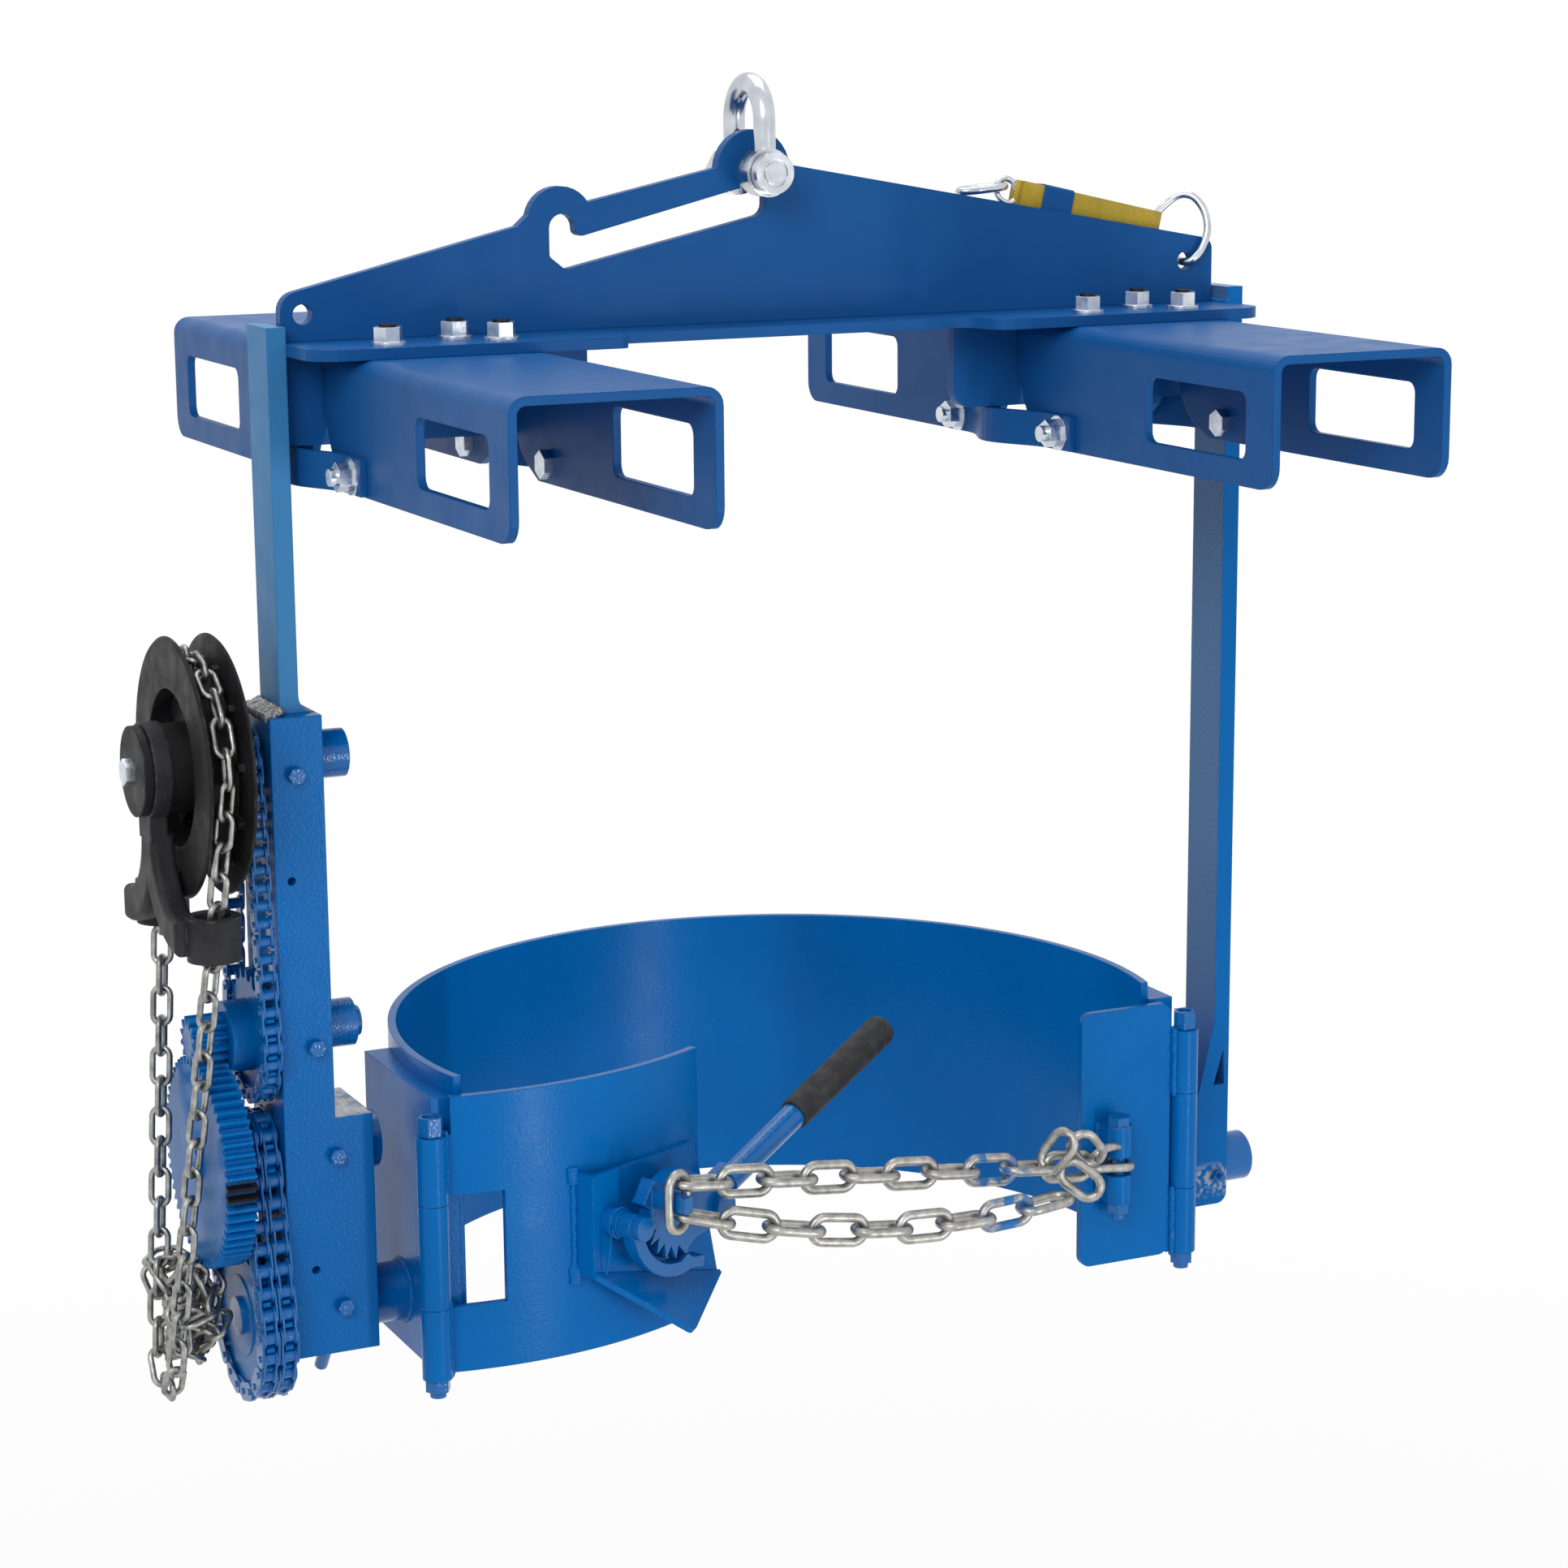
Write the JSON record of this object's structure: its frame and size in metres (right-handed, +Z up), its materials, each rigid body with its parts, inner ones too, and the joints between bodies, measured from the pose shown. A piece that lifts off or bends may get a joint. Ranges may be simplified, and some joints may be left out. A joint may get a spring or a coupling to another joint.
{
  "type": "drum lifter",
  "caption": "Fork-mounted or hoisted drum carrier: a hinged clamp ring on side trunnions under a frame with fork pockets, tipped by a hand-chain gear drive.",
  "frame": {"origin": "middle of the base plate's underside, the face that lies on the two fork pockets", "axes": "+X to the right seen from the door side, +Y to the back of the ring, +Z up"},
  "size_m": [0.922, 0.72, 0.9428],
  "materials": {
    "blue_paint": "glossy powder coat with a fine orange-peel texture",
    "zinc": "bright zinc plate",
    "black_bolt": "black oxide",
    "black_iron": "satin black paint on cast iron",
    "galvanised": "galvanised wire",
    "bright_steel": "polished steel",
    "bronze": "plain turned bronze",
    "webbing": "woven polyester webbing",
    "grip": "matte moulded rubber"
  },
  "bodies": {
    "frame": {"lifting_plate": "blue_paint", "base_plate": "blue_paint", "web_plates": "blue_paint", "pocket_left": "blue_paint", "pocket_right": "blue_paint", "pocket_straps": "blue_paint", "strap_bolts": "zinc", "strap_nuts": "zinc", "pocket_bolts": "black_bolt", "pocket_nuts": "zinc", "left_arm": "blue_paint", "right_arm": "blue_paint", "grease_nipple": "zinc", "gear_column": "blue_paint", "column_screws": "blue_paint", "chain_peg": "blue_paint", "bushes": "bronze", "safety_strap": "webbing", "strap_band": "blue_paint", "strap_hooks": "galvanised", "hand_chain": "galvanised", "drive_chain": "blue_paint", "duplex_chain": "blue_paint"},
    "guide": {"chain_guide": "black_iron"},
    "wheel": {"hand_wheel": "black_iron", "input_shaft": "bright_steel", "input_sprocket": "blue_paint", "wheel_cap": "black_iron", "cap_bolt": "zinc", "input_collar": "blue_paint"},
    "counter": {"counter_shaft": "blue_paint", "counter_sprocket": "blue_paint", "pinion": "blue_paint", "counter_collar": "blue_paint"},
    "gear": {"gear_shaft": "blue_paint", "spur_gear": "blue_paint", "duplex_small": "blue_paint", "gear_collar": "blue_paint"},
    "ring": {"duplex_large": "blue_paint", "trunnion_left": "blue_paint", "trunnion_right": "blue_paint", "trunnion_collar": "blue_paint", "ring_band": "blue_paint", "cheek_left": "blue_paint", "cheek_right": "blue_paint", "hinge_bolts": "blue_paint"},
    "door": {"door_plate": "blue_paint", "binder_bracket": "blue_paint", "binder_pins": "blue_paint"},
    "ratchet": {"ratchet": "blue_paint", "lever_pin": "blue_paint"},
    "pawl": {"pawl": "blue_paint"},
    "lever": {"lever": "blue_paint", "lever_grip": "grip"},
    "leaf": {"leaf": "blue_paint", "anchor_bolt": "blue_paint", "clamp_chain": "galvanised"},
    "shackle_pin": {"shackle_pin": "bright_steel"},
    "shackle_bow": {"shackle_bow": "bright_steel"}
  },
  "joints": [
    {"name": "ring_trunnion", "type": "hinge", "parent": "frame", "child": "ring", "pos_m": [0, 0, -0.693], "axis": [1, 0, 0], "continuous": true},
    {"name": "gear_shaft", "type": "hinge", "parent": "frame", "child": "gear", "pos_m": [-0.42, 0, -0.57317], "axis": [1, 0, 0], "continuous": true, "deforming": ["duplex_chain"]},
    {"name": "counter_shaft", "type": "hinge", "parent": "frame", "child": "counter", "pos_m": [-0.42, 0, -0.48317], "axis": [1, 0, 0], "continuous": true, "deforming": ["drive_chain"]},
    {"name": "hand_wheel", "type": "hinge", "parent": "frame", "child": "wheel", "pos_m": [-0.45, 0, -0.28441], "axis": [1, 0, 0], "continuous": true, "deforming": ["hand_chain"]},
    {"name": "guide_swing", "type": "hinge", "parent": "frame", "child": "guide", "pos_m": [-0.481, 0, -0.28441], "axis": [1, 0, 0], "range_deg": [-10, 10]},
    {"name": "door_hinge", "type": "hinge", "parent": "ring", "child": "door", "pos_m": [-0.313, -0.084, -0.64], "axis": [0, 0, -1], "range_deg": [0, 70]},
    {"name": "leaf_hinge", "type": "hinge", "parent": "ring", "child": "leaf", "pos_m": [0.313, -0.084, -0.64], "axis": [0, 0, 1], "range_deg": [0, 70], "deforming": ["clamp_chain"]},
    {"name": "ratchet_turn", "type": "hinge", "parent": "door", "child": "ratchet", "pos_m": [-0.13076, -0.09424, -0.63], "axis": [0.4172, -0.9088, 0], "range_deg": [-20, 10]},
    {"name": "pawl_pivot", "type": "hinge", "parent": "door", "child": "pawl", "pos_m": [-0.17166, -0.11302, -0.631], "axis": [-0.4172, 0.9088, 0], "range_deg": [0, 15], "stiffness_Nm_per_rad": 0.3, "springref_deg": -17.19},
    {"name": "lever_pivot", "type": "hinge", "parent": "ratchet", "child": "lever", "pos_m": [-0.08805, -0.07463, -0.638], "axis": [0.4172, -0.9088, 0], "range_deg": [-25, 35]},
    {"name": "pin_drop", "type": "slide", "parent": "frame", "child": "shackle_pin", "axis": [0, 0, -1], "range_m": [0, 0.019]},
    {"name": "bow_swing", "type": "hinge", "parent": "shackle_pin", "child": "shackle_bow", "pos_m": [-0.017, 0, 0.1167], "axis": [0, 1, 0], "range_deg": [-60, 60]}
  ],
  "couplings": [
    {"joint": "gear_shaft", "follows": "ring_trunnion", "ratio": 2},
    {"joint": "counter_shaft", "follows": "ring_trunnion", "ratio": -10},
    {"joint": "hand_wheel", "follows": "ring_trunnion", "ratio": -20}
  ]
}
